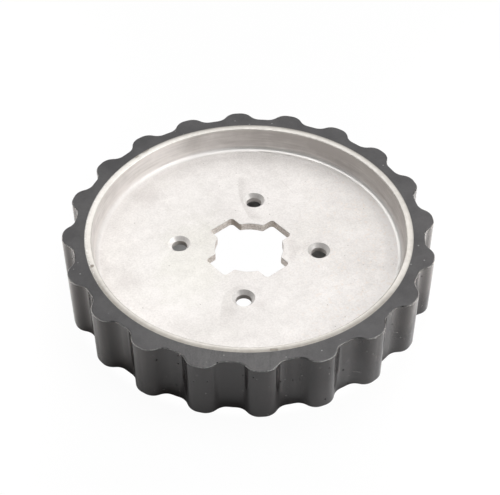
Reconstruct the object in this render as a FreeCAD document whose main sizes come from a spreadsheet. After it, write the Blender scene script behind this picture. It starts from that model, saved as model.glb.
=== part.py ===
import FreeCAD, Part
import math
import os

import Sketcher

# Gate operator drive wheel: a cast dish hub with a lobed tread moulded round its rim.
# The wheel lies on its back face. Its axis is +Z, the origin is on the axis at the back face,
# and the bolt holes are on the X and Y axes. Lengths are in millimetres, angles in degrees.

DRIVING_SIZES = [
    ("wheel_width", 36.3, "back face to front face, hub and tyre alike"),
    ("rim_diameter", 178.8, "outside of the hub's rim, which is also the bore of the tyre"),
    ("rim_wall", 3.7, "thickness of the rim at its front and back edges"),
    ("rim_draft", 2.5, "draft of the rim's inner walls, which thicken towards the web"),
    ("rim_edge_round", 0.6, "rounding of the rim's inner edges"),
    ("front_depth", 14.8, "front edge of the rim down to the web"),
    ("web_thickness", 5.0, "thickness of the web"),
    ("web_fillet", 3.0, "fillet between the web and the rim's inner walls"),
    ("pilot_diameter", 38.1, "circle on which the tabs of the centre cut-out end"),
    ("slot_reach", 5.3, "how far each slot of the cut-out goes outside the pilot circle"),
    ("slot_width", 16.2, "width of each slot of the cut-out"),
    ("slot_corner", 2.0, "radius in the corners of the slots"),
    ("tab_corner", 1.4, "radius on the corners of the tabs"),
    ("cutout_edge_round", 0.3, "rounding of the cut-out's front and back edges"),
    ("bolt_count", 4, "bolt holes, with one slot of the cut-out between each two"),
    ("bolt_circle", 77.6, "pitch circle of the bolt holes"),
    ("bolt_hole", 8.6, "diameter of each bolt hole"),
    ("sink_margin", 1.9, "how much wider the countersink is than its hole, on each side"),
    ("sink_angle", 82.0, "included angle of the countersink"),
    ("lobe_count", 20, "lobes round the tyre"),
    ("lobe_depth", 6.0, "tip of a lobe down to the floor of a valley"),
    ("lobe_crown", 2.4, "width of the crown on a lobe's tip, which follows the tip circle"),
    ("lobe_shoulder", 7.8, "radius of the shoulder on each side of the crown"),
    ("valley_fillet", 7.4, "radius between a lobe's shoulder and the floor of a valley"),
    ("tyre_wall", 6.2, "floor of a valley down to the rim"),
    ("tyre_edge_round", 0.8, "rounding of the tyre's outer edges"),
    ("tyre_turn", 8.0, "angle from a bolt hole to the nearest lobe"),
]

SIZE = {name: value for name, value, meaning in DRIVING_SIZES}
NEAR = 0.001

# Expressions that several features share
RIM_RADIUS = "sizes.rim_diameter / 2"
RIM_INNER = "(sizes.rim_diameter / 2 - sizes.rim_wall)"
DRAFT = "tan(sizes.rim_draft * 1 deg)"
WEB_FRONT = "(sizes.wheel_width - sizes.front_depth)"
WEB_BACK = "(sizes.wheel_width - sizes.front_depth - sizes.web_thickness)"
FRONT_CORNER = f"({RIM_INNER} - sizes.front_depth * {DRAFT})"
BACK_CORNER = f"({RIM_INNER} - {WEB_BACK} * {DRAFT})"
ROOT_RADIUS = "(sizes.rim_diameter / 2 + sizes.tyre_wall)"
TIP_RADIUS = "(sizes.rim_diameter / 2 + sizes.tyre_wall + sizes.lobe_depth)"
HALF_PITCH = "(180 deg / sizes.lobe_count)"
SLOT_END = "(sizes.pilot_diameter / 2 + sizes.slot_reach)"


def size_sheet(doc):
    """The driving sizes, one to a row: its meaning, then its value under an alias."""
    sheet = doc.addObject("Spreadsheet::Sheet", "sizes")
    for row, (name, value, meaning) in enumerate(DRIVING_SIZES, start=1):
        sheet.set(f"A{row}", meaning)
        sheet.set(f"B{row}", str(value))
        sheet.setAlias(f"B{row}", name)
    doc.recompute()
    return sheet


def new_sketch(body, name, role):
    """An empty sketch on one of the body's own origin planes."""
    sketch = body.newObject("Sketcher::SketchObject", name)
    plane = next(item for item in body.Origin.OriginFeatures if item.Role == role)
    sketch.AttachmentSupport = [(plane, "")]
    sketch.MapMode = "FlatFace"
    return sketch


def dimension(sketch, name, expression, *constraint):
    """One named dimension of a sketch, bound to an expression of the sheet."""
    index = sketch.addConstraint(Sketcher.Constraint(*constraint))
    sketch.renameConstraint(index, name)
    sketch.setExpression(f"Constraints.{name}", expression)


def closed_lines(sketch, points):
    """Straight lines through the points and back to the first, joined end to end."""
    vectors = [FreeCAD.Vector(x, y, 0) for x, y in points]
    following = vectors[1:] + vectors[:1]
    lines = [sketch.addGeometry(Part.LineSegment(a, b)) for a, b in zip(vectors, following)]
    for line, after in zip(lines, lines[1:] + lines[:1]):
        sketch.addConstraint(Sketcher.Constraint("Coincident", line, 2, after, 1))
    return lines


def edges_where(feature, wanted):
    """Names of the feature's edges that a test picks out."""
    edges = feature.Shape.Edges
    return [f"Edge{number}" for number, edge in enumerate(edges, start=1) if wanted(edge)]


def on_ring(edge, radius, height):
    """True for a circular edge about the wheel's axis, of a given radius and height."""
    if not isinstance(edge.Curve, Part.Circle):
        return False
    centre = edge.Curve.Center
    off_axis = math.hypot(centre.x, centre.y)
    return off_axis < NEAR and abs(edge.Curve.Radius - radius) < NEAR and abs(centre.z - height) < NEAR


def upright_at(edge, radius):
    """True for a straight edge along the wheel's axis, at a given distance from it."""
    if not isinstance(edge.Curve, Part.Line):
        return False
    start, stop = [vertex.Point for vertex in edge.Vertexes]
    upright = math.hypot(stop.x - start.x, stop.y - start.y) < NEAR
    return upright and abs(math.hypot(start.x, start.y) - radius) < NEAR


def rounded(body, name, base, edges, radius):
    """A fillet on some edges of the feature before it."""
    fillet = body.newObject("PartDesign::Fillet", name)
    fillet.Base = (base, edges)
    fillet.setExpression("Radius", radius)
    body.Document.recompute()
    return fillet


def round_about_axis(body, name, feature, sketch, count):
    """Copies of a feature spaced evenly about the wheel's axis."""
    pattern = body.newObject("PartDesign::PolarPattern", name)
    pattern.Originals = [feature]
    pattern.Axis = (sketch, ["N_Axis"])
    pattern.Angle = 360
    pattern.setExpression("Occurrences", count)
    body.Tip = pattern
    body.Document.recompute()
    return pattern


def check_cut(before, after):
    """A cut that misses the solid leaves its volume as it was, so it is stopped here."""
    if not after.Shape.Volume < before.Shape.Volume - NEAR:
        raise RuntimeError(f"{after.Name} cuts nothing")


def hub_section(body):
    """Half section of the dish, turned about the axis: rim, drafted inner walls and web."""
    sketch = new_sketch(body, "section", "XZ_Plane")
    # A rough outline in unit steps: the dimensions below give each corner its place
    rough = [(0, 3), (5, 3), (6, 0), (7, 0), (7, 7), (6, 7), (5, 4), (0, 4)]
    corners = [
        (None, WEB_BACK),
        (BACK_CORNER, WEB_BACK),
        (RIM_INNER, None),
        (RIM_RADIUS, None),
        (RIM_RADIUS, "sizes.wheel_width"),
        (RIM_INNER, "sizes.wheel_width"),
        (FRONT_CORNER, WEB_FRONT),
        (None, WEB_FRONT),
    ]
    lines = closed_lines(sketch, rough)
    for number, (line, (radius, height)) in enumerate(zip(lines, corners), start=1):
        start_x, start_y = rough[number - 1]
        if radius is None:
            sketch.addConstraint(Sketcher.Constraint("PointOnObject", line, 1, -2))
        else:
            dimension(sketch, f"radius{number}", radius, "DistanceX", -1, 1, line, 1, start_x)
        if height is None:
            sketch.addConstraint(Sketcher.Constraint("PointOnObject", line, 1, -1))
        else:
            dimension(sketch, f"height{number}", height, "DistanceY", -1, 1, line, 1, start_y)
    dish = body.newObject("PartDesign::Revolution", "dish")
    dish.Profile = sketch
    dish.ReferenceAxis = (sketch, ["V_Axis"])
    dish.Angle = 360
    body.Document.recompute()
    return dish


def hub_fillets(body, dish):
    """Fillets at both faces of the web, then the small rounding on the rim's inner edges."""
    draft = math.tan(math.radians(SIZE["rim_draft"]))
    rim_inner = SIZE["rim_diameter"] / 2 - SIZE["rim_wall"]
    web_front = SIZE["wheel_width"] - SIZE["front_depth"]
    web_back = web_front - SIZE["web_thickness"]
    front_corner = rim_inner - SIZE["front_depth"] * draft
    back_corner = rim_inner - web_back * draft

    def web_corner(edge):
        return on_ring(edge, front_corner, web_front) or on_ring(edge, back_corner, web_back)

    def rim_edge(edge):
        return on_ring(edge, rim_inner, SIZE["wheel_width"]) or on_ring(edge, rim_inner, 0)

    web_fillets = rounded(body, "web_fillets", dish, edges_where(dish, web_corner), "sizes.web_fillet")
    edges = edges_where(web_fillets, rim_edge)
    return rounded(body, "rim_edges", web_fillets, edges, "sizes.rim_edge_round")


def centre_cutout(body, base):
    """Round pilot with a square-ended slot between each two bolt holes, its corners rounded."""
    circle = new_sketch(body, "pilot_circle", "XY_Plane")
    ring = circle.addGeometry(Part.Circle(FreeCAD.Vector(), FreeCAD.Vector(0, 0, 1), 1))
    circle.addConstraint(Sketcher.Constraint("Coincident", ring, 3, -1, 1))
    dimension(circle, "pilot", "sizes.pilot_diameter", "Diameter", ring, 1)
    pilot = through_pocket(body, "pilot", circle)
    check_cut(base, pilot)

    outline = new_sketch(body, "slot_outline", "XY_Plane")
    outline.setExpression("AttachmentOffset.Rotation.Angle", "180 deg / sizes.bolt_count")
    inner, side, end, other_side = closed_lines(outline, [(0, 1), (0, -1), (3, -1), (3, 1)])
    for line in (side, other_side):
        outline.addConstraint(Sketcher.Constraint("Horizontal", line))
    outline.addConstraint(Sketcher.Constraint("Symmetric", inner, 1, inner, 2, -1, 1))
    outline.addConstraint(Sketcher.Constraint("Vertical", end))
    outline.addConstraint(Sketcher.Constraint("Vertical", inner))
    dimension(outline, "width", "sizes.slot_width", "DistanceY", end, 1, end, 2, 2)
    dimension(outline, "reach", SLOT_END, "DistanceX", side, 1, side, 2, 3)
    slot = through_pocket(body, "slot", outline)
    check_cut(pilot, slot)
    slots = round_about_axis(body, "slots", slot, outline, "sizes.bolt_count")

    half_width = SIZE["slot_width"] / 2
    pilot_radius = SIZE["pilot_diameter"] / 2
    corner_radius = math.hypot(pilot_radius + SIZE["slot_reach"], half_width)
    corners = edges_where(slots, lambda edge: upright_at(edge, corner_radius))
    slot_corners = rounded(body, "slot_corners", slots, corners, "sizes.slot_corner")
    corners = edges_where(slot_corners, lambda edge: upright_at(edge, pilot_radius))
    tab_corners = rounded(body, "tab_corners", slot_corners, corners, "sizes.tab_corner")

    web_front = SIZE["wheel_width"] - SIZE["front_depth"]
    web_back = web_front - SIZE["web_thickness"]

    def mouth_edge(edge):
        ends = [vertex.Point for vertex in edge.Vertexes]
        flush = any(all(abs(end.z - face) < NEAR for end in ends) for face in (web_front, web_back))
        return flush and all(math.hypot(end.x, end.y) < corner_radius for end in ends)

    mouth = edges_where(tab_corners, mouth_edge)
    return rounded(body, "cutout_edges", tab_corners, mouth, "sizes.cutout_edge_round")


def through_pocket(body, name, sketch):
    """A pocket from the back face up through the whole web."""
    pocket = body.newObject("PartDesign::Pocket", name)
    pocket.Profile = sketch
    pocket.Type = "ThroughAll"
    pocket.Reversed = True
    body.Document.recompute()
    return pocket


def bolt_holes(body, base):
    """Countersunk through holes, sunk from the front of the web."""
    sketch = new_sketch(body, "bolt_place", "XY_Plane")
    sketch.setExpression("AttachmentOffset.Base.z", WEB_FRONT)
    mark = sketch.addGeometry(Part.Circle(FreeCAD.Vector(10, 0, 0), FreeCAD.Vector(0, 0, 1), 1))
    sketch.addConstraint(Sketcher.Constraint("PointOnObject", mark, 3, -1))
    dimension(sketch, "place", "sizes.bolt_circle / 2", "DistanceX", -1, 1, mark, 3, 10)
    dimension(sketch, "bore", "sizes.bolt_hole", "Diameter", mark, 1)
    body.Document.recompute()
    hole = body.newObject("PartDesign::Hole", "bolt_hole")
    hole.Profile = sketch
    hole.DepthType = "ThroughAll"
    hole.HoleCutType = "Countersink"
    hole.HoleCutCustomValues = True
    hole.setExpression("Diameter", "sizes.bolt_hole")
    hole.setExpression("HoleCutDiameter", "sizes.bolt_hole + 2 * sizes.sink_margin")
    hole.setExpression("HoleCutCountersinkAngle", "sizes.sink_angle")
    body.Document.recompute()
    check_cut(base, hole)
    return round_about_axis(body, "bolt_holes", hole, sketch, "sizes.bolt_count")


def make_hub(doc):
    """The casting: a dish with a flat web between a front and a back recess."""
    body = doc.addObject("PartDesign::Body", "hub")
    body.Label = "hub"
    dish = hub_section(body)
    dish = hub_fillets(body, dish)
    dish = centre_cutout(body, dish)
    bolt_holes(body, dish)
    return body


def lobe_sector(body):
    """One pitch of the tyre: a rounded lobe, half a valley on each side, and the bore below."""
    sketch = new_sketch(body, "lobe_outline", "XY_Plane")
    half = math.pi / SIZE["lobe_count"]
    bore = SIZE["rim_diameter"] / 2
    root = bore + SIZE["tyre_wall"]
    tip = root + SIZE["lobe_depth"]
    shoulder = SIZE["lobe_shoulder"]
    fillet = SIZE["valley_fillet"]
    # The axis and the centres of a shoulder and its fillet make a triangle with three known sides
    crown = math.asin(SIZE["lobe_crown"] / 2 / tip)
    near, far, span = tip - shoulder, root + fillet, shoulder + fillet
    floor = crown + math.acos((near ** 2 + far ** 2 - span ** 2) / (2 * near * far))
    rise = far * math.cos(floor) - near * math.cos(crown)
    lean = math.atan2(far * math.sin(floor) - near * math.sin(crown), rise)

    def polar(radius, angle):
        return FreeCAD.Vector(radius * math.cos(angle), radius * math.sin(angle), 0)

    def arc(centre, radius, start, stop):
        circle = Part.Circle(centre, FreeCAD.Vector(0, 0, 1), radius)
        return sketch.addGeometry(Part.ArcOfCircle(circle, start, stop))

    def side(angle):
        return sketch.addGeometry(Part.LineSegment(polar(root, angle), polar(bore, angle)))

    axis = FreeCAD.Vector()
    top = arc(axis, tip, -crown, crown)
    left_shoulder = arc(polar(near, crown), shoulder, crown, lean)
    right_shoulder = arc(polar(near, -crown), shoulder, -lean, -crown)
    left_fillet = arc(polar(far, floor), fillet, math.pi + floor, math.pi + lean)
    right_fillet = arc(polar(far, -floor), fillet, math.pi - lean, math.pi - floor)
    left_floor = arc(axis, root, floor, half)
    right_floor = arc(axis, root, -half, -floor)
    left_side = side(half)
    right_side = side(-half)
    inside = arc(axis, bore, -half, half)

    def tie(*constraint):
        sketch.addConstraint(Sketcher.Constraint(*constraint))

    for ring in (top, left_floor, right_floor, inside):
        tie("Coincident", ring, 3, -1, 1)
    tie("Tangent", top, 2, left_shoulder, 1)
    tie("Tangent", top, 1, right_shoulder, 2)
    tie("Tangent", left_shoulder, 2, left_fillet, 2)
    tie("Tangent", right_shoulder, 1, right_fillet, 1)
    tie("Tangent", left_fillet, 1, left_floor, 1)
    tie("Tangent", right_fillet, 2, right_floor, 2)
    tie("Coincident", left_floor, 2, left_side, 1)
    tie("Coincident", right_floor, 1, right_side, 1)
    tie("Coincident", left_side, 2, inside, 2)
    tie("Coincident", right_side, 2, inside, 1)
    tie("PointOnObject", -1, 1, left_side)
    tie("PointOnObject", -1, 1, right_side)
    tie("Symmetric", top, 1, top, 2, -1)
    tie("Equal", left_shoulder, right_shoulder)
    tie("Equal", left_fillet, right_fillet)
    tie("Equal", left_floor, right_floor)
    dimension(sketch, "bore", RIM_RADIUS, "Radius", inside, bore)
    dimension(sketch, "root", ROOT_RADIUS, "Radius", left_floor, root)
    dimension(sketch, "tip", TIP_RADIUS, "Radius", top, tip)
    dimension(sketch, "crown", "sizes.lobe_crown", "DistanceY", top, 1, top, 2, SIZE["lobe_crown"])
    dimension(sketch, "shoulder", "sizes.lobe_shoulder", "Radius", left_shoulder, shoulder)
    dimension(sketch, "fillet", "sizes.valley_fillet", "Radius", left_fillet, fillet)
    dimension(sketch, "left_pitch", HALF_PITCH, "Angle", -1, 1, left_side, 2, half)
    dimension(sketch, "right_pitch", HALF_PITCH, "Angle", right_side, 2, -1, 1, half)
    sector = body.newObject("PartDesign::Pad", "lobe")
    sector.Profile = sketch
    sector.setExpression("Length", "sizes.wheel_width")
    body.Document.recompute()
    return sector, sketch


def make_tyre(doc):
    """The moulding: one lobe after another round the rim, with its outer edges rounded."""
    body = doc.addObject("PartDesign::Body", "tyre")
    body.Label = "tyre"
    body.setExpression("Placement.Rotation.Angle", "sizes.tyre_turn * 1 deg")
    sector, sketch = lobe_sector(body)
    lobes = round_about_axis(body, "lobes", sector, sketch, "sizes.lobe_count")
    root = SIZE["rim_diameter"] / 2 + SIZE["tyre_wall"]

    def outer_edge(edge):
        ends = [vertex.Point for vertex in edge.Vertexes]
        level = max(end.z for end in ends) - min(end.z for end in ends) < NEAR
        return level and min(math.hypot(end.x, end.y) for end in ends) > root - NEAR

    rounded(body, "tyre_edges", lobes, edges_where(lobes, outer_edge), "sizes.tyre_edge_round")
    return body


def check_and_write(doc, bodies):
    """Stops on any failed feature or bad shape, then writes each piece under its own name."""
    doc.recompute()
    failed = [item.Name for item in doc.Objects if {"Invalid", "Error"} & set(item.State)]
    if failed:
        raise RuntimeError(f"failed features: {failed}")
    for body in bodies:
        shape = body.Shape
        if shape.isNull() or not shape.isValid() or len(shape.Solids) != 1:
            raise RuntimeError(f"{body.Label} is not one sound solid")
    os.makedirs("parts", exist_ok=True)
    for body in bodies:
        body.Shape.exportStep(f"parts/{body.Label}.step")
        box = body.Shape.BoundBox
        print(body.Label, round(body.Shape.Volume), "mm3", len(body.Shape.Faces), "faces", box)


doc = FreeCAD.newDocument("drive_wheel")
size_sheet(doc)
check_and_write(doc, [make_hub(doc), make_tyre(doc)])
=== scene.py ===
"""Finishes, light and camera for a gate operator drive wheel: a dished cast hub inside a lobed tyre."""

import math

import bpy
from mathutils import Matrix, Vector


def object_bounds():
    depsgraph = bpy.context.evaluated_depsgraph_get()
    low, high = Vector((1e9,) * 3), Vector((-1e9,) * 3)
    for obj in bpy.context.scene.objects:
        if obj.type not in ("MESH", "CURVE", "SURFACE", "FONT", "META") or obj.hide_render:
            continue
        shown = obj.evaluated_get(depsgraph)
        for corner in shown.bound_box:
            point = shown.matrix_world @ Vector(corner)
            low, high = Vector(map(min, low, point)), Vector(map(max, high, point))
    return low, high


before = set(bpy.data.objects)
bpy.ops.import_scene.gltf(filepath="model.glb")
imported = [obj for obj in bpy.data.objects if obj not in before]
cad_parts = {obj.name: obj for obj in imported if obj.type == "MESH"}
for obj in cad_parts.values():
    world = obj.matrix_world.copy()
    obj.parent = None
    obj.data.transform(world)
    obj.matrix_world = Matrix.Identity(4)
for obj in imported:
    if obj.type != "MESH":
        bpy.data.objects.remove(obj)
cad_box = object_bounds()

# One millimetre in the frame's metres.
MM = 0.001

# Where the finishes change, in millimetres from the wheel's axis or above its back face.
WEB_DEPTH = 14.8
WEB_THICKNESS = 5.0
SINK_DEPTH = 2.2
RIM_TOP = cad_box[1][2] / MM
WEB_TOP = RIM_TOP - WEB_DEPTH
WEB_BACK = WEB_TOP - WEB_THICKNESS
SINK_FOOT = WEB_TOP - SINK_DEPTH
RIM_RADIUS = 89.4
WALL_RADIUS = 85.2
FOOT_RADIUS = 82.2
HOLE_CIRCLE = 38.8
HOLE_RADIUS = 4.3
SINK_RADIUS = 6.2
CUTOUT_RADIUS = 26.0
VALLEY_RADIUS = 95.6
TIP_RADIUS = 101.6

# Widths of the marks in millimetres, and of the scuffs in degrees.
SCRATCH_WIDTH = 0.35
PALE_LINE_WIDTH = 0.7
SMEAR_WIDTH = 3.0
CHIP_WIDTH = 0.8
DENT_WIDTH = 1.3
SCUFF_WIDTH = 0.35

# Marks on the web and the rim, each from one end to the other by x and y in millimetres.
WEB_SCRATCHES = [
    ((29.0, -3.5), (32.5, 0.5)),
    ((30.0, 2.0), (33.5, 4.0)),
    ((24.0, 2.5), (26.0, -4.5)),
    ((52.0, 21.0), (62.0, 26.0)),
    ((45.0, -28.0), (58.0, -24.0)),
    ((-58.0, -18.0), (-46.0, -22.0)),
    ((-30.0, 12.0), (-22.0, 20.0)),
    ((14.0, 58.0), (22.0, 47.0)),
]
WEB_PALE_LINE = [
    ((-50.8, 36.5), (-47.5, 28.7)),
    ((-47.5, 28.7), (-39.8, 27.0)),
    ((-39.8, 27.0), (-34.9, 23.2)),
    ((-34.9, 23.2), (-34.3, 18.8)),
    ((-34.3, 18.8), (-36.5, 13.3)),
]
WEB_SMEARS = [
    ((23.6, 5.5), (24.8, -6.5)),
    ((26.0, 0.5), (32.5, 4.0)),
]
RIM_CHIPS = [
    ((-63.9, 62.1), (-66.4, 59.4)),
    ((-69.0, 55.9), (-70.2, 54.6)),
    ((17.4, -86.4), (20.2, -86.2)),
]
RIM_DENT = [((-80.2, -35.2), (-80.5, -35.6))]

# Scuffs on the lobes by angle and by height, both in degrees on a circle of 100 mm radius.
DEGREES_PER_MM = 0.573
TYRE_SCUFFS = [
    ((-52.5, 5.8), (-50.5, 5.6)),
    ((-35.5, 7.8), (-33.5, 7.2)),
    ((-34.5, 10.0), (-33.2, 9.4)),
    ((-36.0, 4.5), (-34.4, 4.1)),
]

# Soft patches on the web: middle, size and strength.
WEB_SMUDGES = [
    ((-61.0, 37.0), 12.0, 0.24),
    ((-63.0, -31.0), 10.0, 0.15),
    ((57.0, 26.0), 8.0, 0.10),
    ((9.0, -42.0), 5.0, 0.16),
]

# Walls of the cut-out darkened by painted shade, as if turned from the light: x + y along the wall, and
# how much darker.
CUTOUT_SHADED_WALLS = [
    (11.4, 0.9),
    (34.4, 0.35),
]

# Colours of the cast hub; a pair runs from its darkest to its palest tone.
WEB_GREENISH = (0.63, 0.605, 0.56, 1), (0.905, 0.88, 0.83, 1)
WEB_PINKISH = (0.635, 0.60, 0.575, 1), (0.91, 0.876, 0.85, 1)
WALL_GREENISH = (0.495, 0.482, 0.45, 1), (0.85, 0.832, 0.795, 1)
WALL_PINKISH = (0.51, 0.483, 0.465, 1), (0.867, 0.834, 0.812, 1)
FOOT_METAL_AND_HIGHLIGHT = (0.87, 0.848, 0.825, 1), (0.98, 0.957, 0.93, 1)
RIM_TURNED = (0.58, 0.55, 0.51, 1), (0.86, 0.83, 0.785, 1)
RIM_DULL = (0.28, 0.26, 0.23, 1), (0.48, 0.455, 0.42, 1)
CUTOUT_WALL = (0.50, 0.43, 0.37, 1), (1.0, 0.93, 0.87, 1)
SINK_METAL = (0.54, 0.52, 0.50, 1), (1.0, 0.968, 0.94, 1)
SMUDGE_GREY = (0.46, 0.41, 0.385, 1)
FRECKLE_BROWN = (0.82, 0.71, 0.62, 1)
SPECK_GREY = (0.36, 0.33, 0.30, 1)
RIM_EDGE_GREY = (0.2, 0.19, 0.175, 1)
CHIP_BROWN = (0.30, 0.26, 0.22, 1)
DENT_BROWN = (0.16, 0.13, 0.10, 1)
BARE_METAL = (0.94, 0.93, 0.92, 1)
# Painted shade for the bolt holes' bores.
BORE_SHADE_GREY = (0.34, 0.31, 0.29, 1)
CUT_EDGE = (0.92, 0.91, 0.89, 1)

# Colours of the tyre and the floor.
TYRE_WALL = (0.0155, 0.014, 0.014, 1), (0.030, 0.026, 0.0265, 1)
TYRE_WALL_WARM_REFLECTION = (0.022, 0.0165, 0.014, 1)
TYRE_FACE = (0.036, 0.034, 0.0355, 1), (0.079, 0.076, 0.0775, 1)
TYRE_FACE_DUSTY = (0.115, 0.111, 0.110, 1)
TYRE_EDGE_WEAR_AND_HIGHLIGHT = (0.03, 0.03, 0.03, 1), (0.28, 0.28, 0.275, 1)
PIT_BLACK = (0.004, 0.004, 0.004, 1)
DUST_GREY = (0.42, 0.42, 0.41, 1)
SCUFF_GREY = (0.22, 0.22, 0.21, 1)
FLOOR_CONTACT_SHADE = (0.4, 0.4, 0.4, 1)
FLOOR_WHITE = (0.85, 0.85, 0.85, 1)
WHITE = (1, 1, 1, 1)
WARM_LIGHT = (1.0, 0.935, 0.88)


class Shade:
    """One output socket of a finish. Arithmetic on it adds Math nodes to the same finish."""

    def __init__(self, socket):
        self.socket = socket

    def node(self, kind, settings=None, inputs=None, output=0):
        """Adds a node of this type, sets it up, gives its sockets values or links, returns an output."""
        tree = self.socket.id_data
        made = tree.nodes.new(kind)
        for name, value in (settings or {}).items():
            setattr(made, name, value)
        for name, value in (inputs or {}).items():
            if isinstance(value, Shade):
                tree.links.new(value.socket, made.inputs[name])
            else:
                made.inputs[name].default_value = value
        return Shade(made.outputs[output])

    def math(self, operation, *values):
        """A Math node on these values, which may be numbers or Shades."""
        return self.node("ShaderNodeMath", {"operation": operation}, dict(enumerate(values)))

    def __add__(self, other):
        return self.math("ADD", self, other)

    __radd__ = __add__

    def __sub__(self, other):
        return self.math("SUBTRACT", self, other)

    def __rsub__(self, other):
        return self.math("SUBTRACT", other, self)

    def __mul__(self, other):
        return self.math("MULTIPLY", self, other)

    __rmul__ = __mul__

    def __truediv__(self, other):
        return self.math("DIVIDE", self, other)

    def __pow__(self, other):
        return self.math("POWER", self, other)

    def __abs__(self):
        return self.math("ABSOLUTE", self)

    def rise(self, start, stop):
        """0 up to start, 1 from stop on, with a smooth ramp between; start above stop makes it fall."""
        limits = {"Value": self, "From Min": start, "From Max": stop}
        return self.node("ShaderNodeMapRange", {"interpolation_type": "SMOOTHSTEP"}, limits)

    def colours(self, low, high):
        """The first colour where this value is 0, the second where it is 1; either may be a Shade."""
        ends = {0: self, 6: low, 7: high}
        return self.node("ShaderNodeMix", {"data_type": "RGBA"}, ends, output=2)


class Spot:
    """A point of a finish on Object coordinates: x, y, z and its radius from the axis, in millimetres."""

    def __init__(self, tree):
        coords = Shade(tree.nodes.new("ShaderNodeTexCoord").outputs["Object"])
        to_mm = {"Vector": coords, "Scale": 1.0 / MM}
        self.point = coords.node("ShaderNodeVectorMath", {"operation": "SCALE"}, to_mm)
        split = self.point.node("ShaderNodeSeparateXYZ", None, {"Vector": self.point}).socket.node
        self.x, self.y, self.z = (Shade(socket) for socket in split.outputs)
        self.radius = (self.x * self.x + self.y * self.y) ** 0.5

    def grain(self, along, scale, detail=2.0, rough=0.5):
        """Noise from about -1 to 1; scale is its cells per millimetre along x, y and z or the radius."""
        third = {"z": self.z, "r": self.radius}[along]
        sides = {"X": self.x * scale[0], "Y": self.y * scale[1], "Z": third * scale[2]}
        place = self.point.node("ShaderNodeCombineXYZ", None, sides)
        fed = {"Vector": place, "Scale": 1.0, "Detail": detail, "Roughness": rough}
        return (self.point.node("ShaderNodeTexNoise", None, fed) - 0.5) * 3.0

    def cloud(self, scale, detail=2.0, rough=0.5):
        """Noise from about -1 to 1 with the same scale all ways."""
        return self.grain("z", (scale, scale, scale), detail, rough)

    def specks(self, spacing, size, share):
        """1 on dots of this size, one in each cell of this spacing, kept in this share of the cells."""
        fed = {"Vector": self.point, "Scale": 1.0 / spacing}
        cell = self.point.node("ShaderNodeTexVoronoi", {"feature": "F1"}, fed)
        drawn = Shade(cell.socket.node.outputs["Color"])
        drawn = drawn.node("ShaderNodeSeparateXYZ", None, {0: drawn})
        picked = drawn.rise(1.0 - share, 1.0 - share + 0.001)
        return picked * cell.rise(size / spacing, 0.5 * size / spacing)


class HubSpot(Spot):
    """A point of the hub, with its place about the nearest bolt hole and the noises its colours share."""

    def __init__(self, tree):
        super().__init__(tree)
        x, y = self.x, self.y
        beside = x.math("GREATER_THAN", abs(x), abs(y))
        self.hole_x = x - HOLE_CIRCLE * beside * x.math("SIGN", x)
        self.hole_y = y - HOLE_CIRCLE * (1.0 - beside) * y.math("SIGN", y)
        self.hole_gap = (self.hole_x ** 2 + self.hole_y ** 2) ** 0.5
        self.fine = self.cloud(1.1, 3.0, 0.6)
        self.mottle = self.cloud(0.16, 4.0, 0.6)
        self.broad = self.cloud(0.032, 2.0, 0.5)
        self.patchy = self.cloud(0.35, 4.0, 0.65)
        self.brushed = self.grain("z", (0.035, 0.035, 0.55), 4.0, 0.6)
        self.turned = self.grain("r", (0.05, 0.05, 3.5), 2.0, 0.6)
        greener = ((x + 30.0) * (x + 30.0) + 0.3 * (y + 12.0) * (y + 12.0)) ** 0.5 + 8.0 * self.mottle
        self.hue = 0.95 + 0.4 * self.cloud(0.022, 3.0, 0.55) - 0.8 * greener.rise(26.0, 8.0)


def stroke(u, v, start, stop, width):
    """1 along a straight mark of this width from start to stop, both given on the coordinates u and v."""
    across = (stop[0] - start[0], stop[1] - start[1])
    length = across[0] ** 2 + across[1] ** 2
    du = u - start[0]
    dv = v - start[1]
    share = (du * across[0] + dv * across[1]) * (1.0 / length)
    share = share.node("ShaderNodeClamp", None, {"Value": share})
    side = du - share * across[0]
    ahead = dv - share * across[1]
    return ((side * side + ahead * ahead) ** 0.5).rise(width, 0.4 * width)


def strokes(u, v, marks, width):
    """1 along any of several straight marks, each given by its two ends."""
    found = 0.0
    for start, stop in marks:
        mark = stroke(u, v, start, stop, width)
        found = mark.math("MAXIMUM", mark, found)
    return found


def smudges(spot):
    """Soft patches on the web, each as strong as its list says, with edges made ragged by a noise."""
    found = 0.0
    for (x, y), size, strength in WEB_SMUDGES:
        gap = ((spot.x - x) ** 2 + (spot.y - y) ** 2) ** 0.5 + 0.5 * size * spot.patchy
        found = strength * gap.rise(size, 0.2 * size) + found
    return found


def new_finish(name):
    """A new node material and its Principled shader."""
    material = bpy.data.materials.new(name)
    material.use_nodes = True
    return material, material.node_tree.nodes["Principled BSDF"]


def feed(shader, **sockets):
    """Links or sets the named sockets of a shader; underscores stand for spaces."""
    for name, value in sockets.items():
        socket = shader.inputs[name.replace("_", " ")]
        if isinstance(value, Shade):
            shader.id_data.links.new(value.socket, socket)
        else:
            socket.default_value = value


def flow_marks(spot):
    """Greyer metal right of two cold-flow fronts on the web, beside the far and the near bolt hole."""
    x, y = spot.x, spot.y
    to_far = 55.3 - y
    past_far = x + 10.5 - 0.0088 * to_far * to_far
    far = past_far.rise(-0.2, 0.5) * past_far.rise(9.0, 1.0)
    far = far * y.rise(22.0, 25.0) * y.rise(60.0, 55.0)
    to_near = (y + 48.6) / 18.8
    past_near = x + 11.5 - 8.2 * to_near * to_near * to_near * to_near
    near = past_near.rise(-0.2, 0.5) * past_near.rise(16.0, 2.0)
    near = near * y.rise(-29.0, -31.0) * y.rise(-66.0, -48.0)
    return far + 0.6 * near


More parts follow.
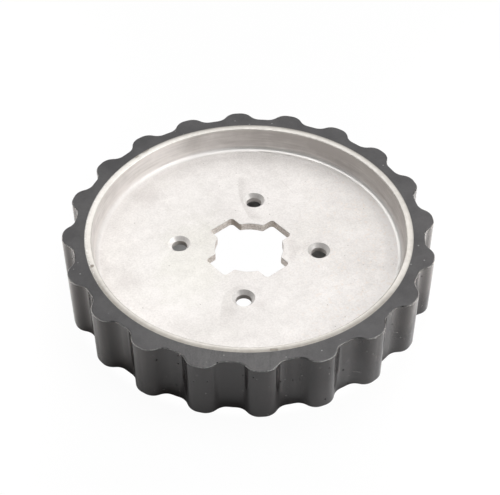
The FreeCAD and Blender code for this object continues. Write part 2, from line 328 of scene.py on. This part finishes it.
def web_colour(spot, scratches, specks):
    """Grainy cast web: greenish or pinkish grey with flow marks and stains, and painted light and shade:
    paler at the left and along the foot of the far wall, darker in places at the right, the far side and
    the far left.
    """
    x, y, radius = spot.x, spot.y, spot.radius
    # Painted light and shade on the web: paler where light falls and by the wall's foot, darker where the
    # rim would shade it.
    painted_light = 0.12 * x.rise(10.0, -45.0) * radius.rise(84.0, 56.0)
    painted_light = painted_light - 0.15 * x.rise(38.0, 55.0) * abs(y).rise(24.0, 8.0)
    painted_light = painted_light + 0.12 * x.rise(0.0, -16.0) * y.rise(-2.0, -16.0) * radius.rise(70.0, 56.0)
    painted_light = painted_light + (0.35 + 0.5 * x.rise(0.0, 40.0)) * radius.rise(77.5, 81.5) * y.rise(-10.0, 30.0)
    painted_light = painted_light + 0.3 * radius.rise(69.0, 79.0) * x.rise(32.0, 60.0) + 0.1 * (x - y).rise(60.0, 95.0)
    painted_light = painted_light - 0.15 * y.rise(50.0, 74.0) - 0.15 * x.rise(-60.0, -80.0)
    tone = 0.54 + 0.4 * spot.fine + 0.26 * spot.mottle + 0.22 * spot.broad + painted_light
    pale_line = strokes(x, y, WEB_PALE_LINE, PALE_LINE_WIDTH)
    tone = tone - 0.4 * flow_marks(spot) - 0.22 * scratches + 0.14 * pale_line
    cast = spot.hue.colours(tone.colours(*WEB_GREENISH), tone.colours(*WEB_PINKISH))
    smears = strokes(x, y, WEB_SMEARS, SMEAR_WIDTH) * (0.2 + 0.25 * spot.patchy)
    cast = (smudges(spot) + smears).colours(cast, SMUDGE_GREY)
    freckles = spot.cloud(0.5, 3.0, 0.6).rise(0.1, 0.6) * x.rise(5.0, 65.0)
    cast = (0.5 * freckles).colours(cast, FRECKLE_BROWN)
    return (0.7 * specks).colours(cast, SPECK_GREY)


def wall_colour(spot):
    """Brushed inner wall of the dish with painted light and shade: pale at the left, darker to the right
    and towards the rim, paler just above the web.
    """
    x, z = spot.x, spot.z
    tone = 0.51 + 0.4 * spot.brushed + 0.2 * spot.mottle + 0.35 * spot.broad
    # Painted light and shade: the left of the wall, which faces the light, paler; the right darker; a
    # painted highlight just above the web.
    tone = tone - 0.31 * x.rise(-44.0, 30.0) + 0.32 * x.rise(-36.0, -56.0)
    tone = tone - 0.2 * z.rise(RIM_TOP - 10.0, RIM_TOP - 3.0) * x.rise(-45.0, 5.0)
    tone = tone + 0.42 * z.rise(WEB_TOP + 5.5, WEB_TOP + 2.0)
    tone = tone - 0.2 * x.rise(-70.0, -80.0)
    tone = tone - 0.16 * x.rise(-45.0, -38.0) * x.rise(-6.0, -18.0)
    tone = tone + 0.12 * x.rise(-42.0, -47.0) * x.rise(-66.0, -56.0)
    return spot.hue.colours(tone.colours(*WALL_GREENISH), tone.colours(*WALL_PINKISH))


def rim_colour(spot, chips):
    """Turned rim: duller towards its outer edge, most at the near and far side, chipped and dented, with
    painted light and shade, paler at the left and darker at the right edge.
    """
    x, y, radius = spot.x, spot.y, spot.radius
    near = (y + 0.04 * x).rise(-24.0, -52.0)
    ends = near + y.rise(35.0, 75.0)
    outwards = radius - RIM_RADIUS
    outer = (outwards + 0.9 * near + 0.3 * spot.mottle).rise(-2.5, 0.1) * (0.3 + 0.7 * ends)
    tone = 0.5 + 0.25 * spot.turned + 0.25 * spot.mottle + 0.3 * spot.patchy - 0.25 * near
    # Painted light and shade: the rim paler at the left and darker at the right edge.
    tone = tone + 0.35 * x.rise(-20.0, -65.0) * y.rise(-25.0, 20.0) - 0.25 * x.rise(60.0, 82.0)
    skim = outer.colours(tone.colours(*RIM_TURNED), tone.colours(*RIM_DULL))
    skim = (0.5 * outwards.rise(-0.8, -0.1) * (1.0 - near)).colours(skim, RIM_EDGE_GREY)
    skim = (0.8 * chips).colours(skim, CHIP_BROWN)
    skim = (0.8 * strokes(x, y, RIM_DENT, DENT_WIDTH)).colours(skim, DENT_BROWN)
    nicks = spot.fine.rise(0.15, 0.4) * outwards.rise(-1.8, -1.0) * x.rise(-70.0, -84.0)
    return (0.7 * nicks).colours(skim, BARE_METAL)


def cutout_colour(spot):
    """Rough walls of the centre cut-out, two of them darkened by painted shade."""
    rusty = spot.grain("z", (0.8, 0.8, 1.4), 4.0, 0.65)
    tone = 0.65 + 0.35 * spot.mottle + 0.9 * rusty
    for line, shade in CUTOUT_SHADED_WALLS:
        tone = tone - shade * abs(spot.x + spot.y - line).rise(1.6, 0.6) * spot.y.rise(2.0, 8.0)
    return tone.colours(*CUTOUT_WALL)


def sink_colour(spot):
    """Bright countersinks with painted light and shade: each cone paler at its left and right, darker at
    its far side, and each hole lit a little differently.
    """
    x, y = spot.x, spot.y
    left_side = spot.hole_x.rise(-2.0, -5.5)
    right_side = spot.hole_x.rise(2.0, 5.5)
    far_side = spot.hole_y.rise(0.0, 5.0)
    # Painted light and shade on each cone, then hole by hole below.
    tone = 0.35 + 0.2 * spot.fine - 0.3 * far_side + 0.35 * left_side + 0.35 * right_side
    tone = tone + 0.4 * x.rise(-28.0, -33.0) - 0.15 * left_side * y.rise(-28.0, -33.0)
    tone = tone + x.rise(28.0, 32.0) * (0.2 * far_side - 0.7 * left_side)
    return tone.colours(*SINK_METAL)


def cast_hub_finish():
    """Die-cast aluminium: stained grainy web, turned rim and wall, bright countersinks, grey cut-out,
    with painted light and shade on web, wall, foot, rim, countersinks, bolt bores and cut-out walls.
    """
    material, shader = new_finish("cast_hub")
    spot = HubSpot(material.node_tree)
    x, y, z, radius = spot.x, spot.y, spot.z, spot.radius

    rim = z.rise(RIM_TOP - 0.9, RIM_TOP - 0.3)
    wall = radius.rise(WALL_RADIUS - 1.6, WALL_RADIUS - 0.4)
    wall = wall * z.rise(WEB_TOP + 1.0, WEB_TOP + 2.0) * (1.0 - rim)
    # The pale foot fillet is partly polished metal and partly a painted highlight: paler across the
    # middle of the far side, weaker at the left.
    foot = radius.rise(FOOT_RADIUS - 0.4, FOOT_RADIUS + 0.3) * z.rise(WEB_TOP + 1.6, WEB_TOP + 1.0)
    foot = foot * z.rise(WEB_TOP - 0.5, WEB_TOP - 0.1) * (0.3 + 0.7 * x.rise(-78.0, -35.0))
    facing = x.rise(-42.0, -20.0) * x.rise(48.0, 26.0)
    sink = spot.hole_gap.rise(SINK_RADIUS + 0.15, SINK_RADIUS - 0.1)
    sink = sink * z.rise(SINK_FOOT - 0.1, SINK_FOOT + 0.1)
    # Painted shade: the bolt holes' bores darkened below the countersinks.
    painted_bore_shade = spot.hole_gap.rise(HOLE_RADIUS + 0.45, HOLE_RADIUS + 0.2)
    painted_bore_shade = painted_bore_shade * z.rise(SINK_FOOT + 0.1, SINK_FOOT - 0.1)
    cutout = radius.rise(CUTOUT_RADIUS + 0.5, CUTOUT_RADIUS)
    bores = cutout * z.rise(WEB_TOP - 0.15, WEB_TOP - 0.5) * z.rise(WEB_BACK + 0.1, WEB_BACK + 0.4)
    edge = cutout * z.rise(WEB_TOP - 0.32, WEB_TOP - 0.2) * z.rise(WEB_TOP - 0.02, WEB_TOP - 0.06)

    specks = spot.specks(5.0, 0.45, 0.5)
    scratches = strokes(x, y, WEB_SCRATCHES, SCRATCH_WIDTH)
    chips = strokes(x, y, RIM_CHIPS, CHIP_WIDTH) * (0.5 + 0.5 * spot.patchy.rise(-0.5, 0.3))

    colour = wall.colours(web_colour(spot, scratches, specks), wall_colour(spot))
    colour = foot.colours(colour, facing.colours(*FOOT_METAL_AND_HIGHLIGHT))
    colour = rim.colours(colour, rim_colour(spot, chips))
    colour = bores.colours(colour, cutout_colour(spot))
    colour = (0.7 * painted_bore_shade).colours(colour, BORE_SHADE_GREY)
    colour = sink.colours(colour, sink_colour(spot))
    colour = edge.colours(colour, CUT_EDGE)

    rough = 0.5 + 0.05 * spot.mottle - 0.08 * rim - 0.05 * wall - 0.08 * sink - 0.1 * foot
    height = 0.025 * spot.fine + 0.035 * spot.mottle
    height = height + 0.006 * spot.turned * rim + 0.008 * spot.brushed * wall
    height = height - 0.05 * scratches - 0.08 * specks - 0.3 * chips * rim
    uneven = {"Strength": 0.7, "Distance": MM, "Height": height}
    bump = height.node("ShaderNodeBump", None, uneven)
    metal = 0.15 + 0.5 * wall + 0.5 * rim + 0.05 * sink + (0.4 + 0.4 * facing) * foot + 0.3 * bores
    feed(shader, Base_Color=colour, Roughness=rough, Metallic=metal, Normal=bump)
    return material


def tyre_finish():
    """Dark grey moulded polyurethane: dusty top face, top edge paled by wear and a painted highlight,
    smooth walls with a painted warm reflection at the left, pits and scuffs.
    """
    material, shader = new_finish("tyre_polyurethane")
    spot = Spot(material.node_tree)
    x, y, z, radius = spot.x, spot.y, spot.z, spot.radius

    face = z.rise(RIM_TOP - 0.15, RIM_TOP - 0.03)
    edge = z.rise(RIM_TOP - 0.75, RIM_TOP - 0.45) * (1.0 - face)
    mottle = spot.cloud(0.12, 4.0, 0.6)
    broad = spot.cloud(0.03, 2.0, 0.5)
    fine = spot.cloud(1.4, 2.0, 0.6)
    clouds = spot.cloud(0.07, 4.0, 0.65)
    streaks = spot.grain("z", (0.6, 0.6, 0.015), 3.0, 0.6)
    wiped = spot.grain("z", (0.45, 0.1, 0.1), 4.0, 0.65)
    pits = spot.specks(6.0, 0.62, 0.75) * (1.0 - face)
    dust = spot.specks(4.4, 0.5, 0.55) * (0.6 + 0.4 * face)
    angle = x.math("ARCTAN2", y, x) * math.degrees(1.0)
    scuffs = strokes(angle, z * DEGREES_PER_MM, TYRE_SCUFFS, SCUFF_WIDTH)
    scuffs = scuffs * radius.rise(VALLEY_RADIUS, VALLEY_RADIUS + 2.0)

    tone = 0.5 + 0.25 * mottle + 0.3 * broad + 0.06 * fine + 0.1 * streaks
    walls = tone.colours(*TYRE_WALL)
    # Painted reflection: the walls at the left tinted warm.
    walls = (0.6 * x.rise(-5.0, -70.0)).colours(walls, TYRE_WALL_WARM_REFLECTION)
    tone = tone + 0.5 * clouds + 0.14 * fine - 0.17 * x.rise(-45.0, -80.0)
    tone = tone + 0.2 * x.rise(20.0, 45.0) * y.rise(-50.0, -70.0)
    dusty = (x * x + (y + 92.0) * (y + 92.0)) ** 0.5
    dusty = dusty.rise(58.0, 18.0) * (0.6 + 0.3 * clouds + 0.3 * fine + 0.5 * wiped)
    haze = dusty.colours(tone.colours(*TYRE_FACE), TYRE_FACE_DUSTY)
    # The pale top edge is partly wear and partly a painted highlight, weaker at the right.
    tips = radius.rise(TIP_RADIUS - 4.6, TIP_RADIUS - 0.6)
    wear_and_highlight = 0.3 + 0.5 * mottle + 0.5 * fine + 0.4 * tips - 0.35 * x.rise(20.0, 70.0)
    colour = face.colours(walls, haze)
    colour = edge.colours(colour, wear_and_highlight.colours(*TYRE_EDGE_WEAR_AND_HIGHLIGHT))
    colour = pits.colours(colour, PIT_BLACK)
    colour = (0.55 * dust).colours(colour, DUST_GREY)
    colour = (0.35 * scuffs).colours(colour, SCUFF_GREY)

    rough = 0.15 + 0.38 * face + 0.25 * edge + 0.02 * mottle + 0.6 * pits
    height = 0.01 * fine * face + 0.012 * mottle + 0.004 * streaks - 0.25 * pits
    uneven = {"Strength": 0.5, "Distance": MM, "Height": height}
    bump = height.node("ShaderNodeBump", None, uneven)
    feed(shader, Base_Color=colour, Roughness=rough, Metallic=pits, IOR=1.55, Normal=bump)
    return material


def floor_finish():
    """Plain floor that glows white where it is seen and keeps a faint shadow, with painted shade and
    light: grey in a ring at the tyre's foot, no glow under the web but a little under the left bolt hole,
    and glow seen only in reflections beside the wheel, in front of it and under the cut-out.
    """
    material, shader = new_finish("white_floor")
    tree = material.node_tree
    rays = tree.nodes.new("ShaderNodeLightPath").outputs
    seen = Shade(rays["Is Camera Ray"])
    mirrored = Shade(rays["Is Glossy Ray"]) + Shade(rays["Is Transmission Ray"])
    spot = Spot(tree)
    x, y, radius = spot.x, spot.y, spot.radius

    under = ((y - 12.0) * (y - 12.0) * 0.6 + x * x) ** 0.5
    shaded = under.rise(31.0, 33.5) * radius.rise(90.0, 84.0)
    # Painted light: under the left bolt hole the floor keeps some of its glow.
    shaded = shaded * (0.995 - 0.006 * x.rise(0.0, 30.0) - 0.08 * x.rise(-15.0, -40.0))
    open_floor = radius.rise(97.0, 104.0)
    below = radius.rise(84.0, 76.0)
    # Painted reflection: the floor glows white for reflected rays beside the wheel at the right, farther
    # out at the front, and under the cut-out.
    bright = 0.8 * x.rise(25.0, 60.0) * radius.rise(94.0, 100.0) * radius.rise(118.0, 108.0)
    beyond = radius.rise(102.0, 116.0) * radius.rise(260.0, 180.0) * y.rise(-30.0, -75.0)
    bright = bright + beyond * (0.3 * x.rise(35.0, 85.0) + 0.16 * x.rise(-40.0, -85.0))
    mirrored = mirrored * (0.1 * open_floor + 0.9 * below + bright)
    share = ((1.0 - 0.05 * open_floor) * seen + mirrored) * (1.0 - shaded)

    # Painted shadow: the floor grey in a ring at the tyre's foot.
    pale = open_floor + 0.6 * below
    feed(shader, Base_Color=pale.colours(FLOOR_CONTACT_SHADE, FLOOR_WHITE), Roughness=0.9)
    glow = share.node("ShaderNodeEmission", None, {"Color": WHITE, "Strength": 1.0})
    mixed = share.node("ShaderNodeMixShader", None, {0: share, 1: Shade(shader.outputs[0]), 2: glow})
    tree.links.new(mixed.socket, tree.nodes["Material Output"].inputs["Surface"])
    return material


def lay_floor(size):
    """A square floor at the height of the wheel's back face."""
    half = size / 2
    corners = [(-half, -half, 0), (half, -half, 0), (half, half, 0), (-half, half, 0)]
    mesh = bpy.data.meshes.new("floor")
    mesh.from_pydata(corners, [], [(0, 1, 2, 3)])
    floor = bpy.data.objects.new("floor", mesh)
    bpy.context.scene.collection.objects.link(floor)
    mesh.materials.append(floor_finish())


def hang_lamp(name, place, aim, size, watts, spread=180.0, colour=(1, 1, 1)):
    """A soft rectangular lamp that faces the aim point; its light stays within the spread in degrees."""
    lamp = bpy.data.lights.new(name, "AREA")
    lamp.shape = "RECTANGLE"
    lamp.size, lamp.size_y = size
    lamp.energy = watts
    lamp.color = colour
    lamp.spread = math.radians(spread)
    holder = bpy.data.objects.new(name, lamp)
    facing = (Vector(place) - Vector(aim)).to_track_quat("Z", "Y").to_matrix().to_4x4()
    holder.matrix_world = Matrix.Translation(place) @ facing
    bpy.context.scene.collection.objects.link(holder)


def light_studio():
    """A broad panel behind, one overhead, a softbox at the right and a low lamp at each side."""
    world = bpy.data.worlds.new("studio")
    world.use_nodes = True
    tree = world.node_tree
    seen = Shade(tree.nodes.new("ShaderNodeLightPath").outputs["Is Camera Ray"])
    ambient = 0.15
    feed(tree.nodes["Background"], Color=WHITE, Strength=ambient + (1.0 - ambient) * seen)
    bpy.context.scene.world = world
    middle = (0.0, 0.0, 0.02)
    hang_lamp("right_softbox", (0.9, -0.1, 0.66), middle, (0.9, 0.7), 7.4)
    hang_lamp("back_panel", (-0.2, 0.9, 1.4), middle, (2.2, 1.4), 14.0)
    hang_lamp("top_panel", (0.0, 0.1, 1.4), middle, (1.8, 1.4), 8.0)
    low_lamps = [("right_floor_lamp", 0.36, -0.09, 7.5), ("left_floor_lamp", -0.36, -0.06, 4.6)]
    for name, x, y, watts in low_lamps:
        hang_lamp(name, (x, y, 0.3), (x, y, 0.0), (0.2, 0.5), watts, spread=75.0, colour=WARM_LIGHT)


def place_camera(aim, distance, azimuth, elevation, roll, lens):
    """Looks at the aim point from this distance, turned about +Z by azimuth and raised, in degrees."""
    turn = math.radians(azimuth)
    lift = math.radians(elevation)
    away = Vector((math.cos(lift) * math.cos(turn), math.cos(lift) * math.sin(turn), math.sin(lift)))
    data = bpy.data.cameras.new("camera")
    data.lens = lens
    data.sensor_fit = "HORIZONTAL"
    data.sensor_width = 36.0
    camera = bpy.data.objects.new("camera", data)
    facing = away.to_track_quat("Z", "Y").to_matrix().to_4x4()
    spin = Matrix.Rotation(math.radians(roll), 4, "Z")
    camera.matrix_world = Matrix.Translation(Vector(aim) + distance * away) @ facing @ spin
    bpy.context.scene.collection.objects.link(camera)
    bpy.context.scene.camera = camera


def dress(node, material):
    """Gives a piece of the CAD model its finish."""
    node.data.materials.clear()
    node.data.materials.append(material)


dress(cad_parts["hub"], cast_hub_finish())
dress(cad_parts["tyre"], tyre_finish())
lay_floor(size=8.0)
light_studio()
place_camera(
    aim=(0.00173, -0.01557, 0.0363),
    distance=0.62414,
    azimuth=-85.668,
    elevation=44.340,
    roll=-0.227,
    lens=83.879,
)
bpy.context.scene.view_settings.view_transform = "Standard"
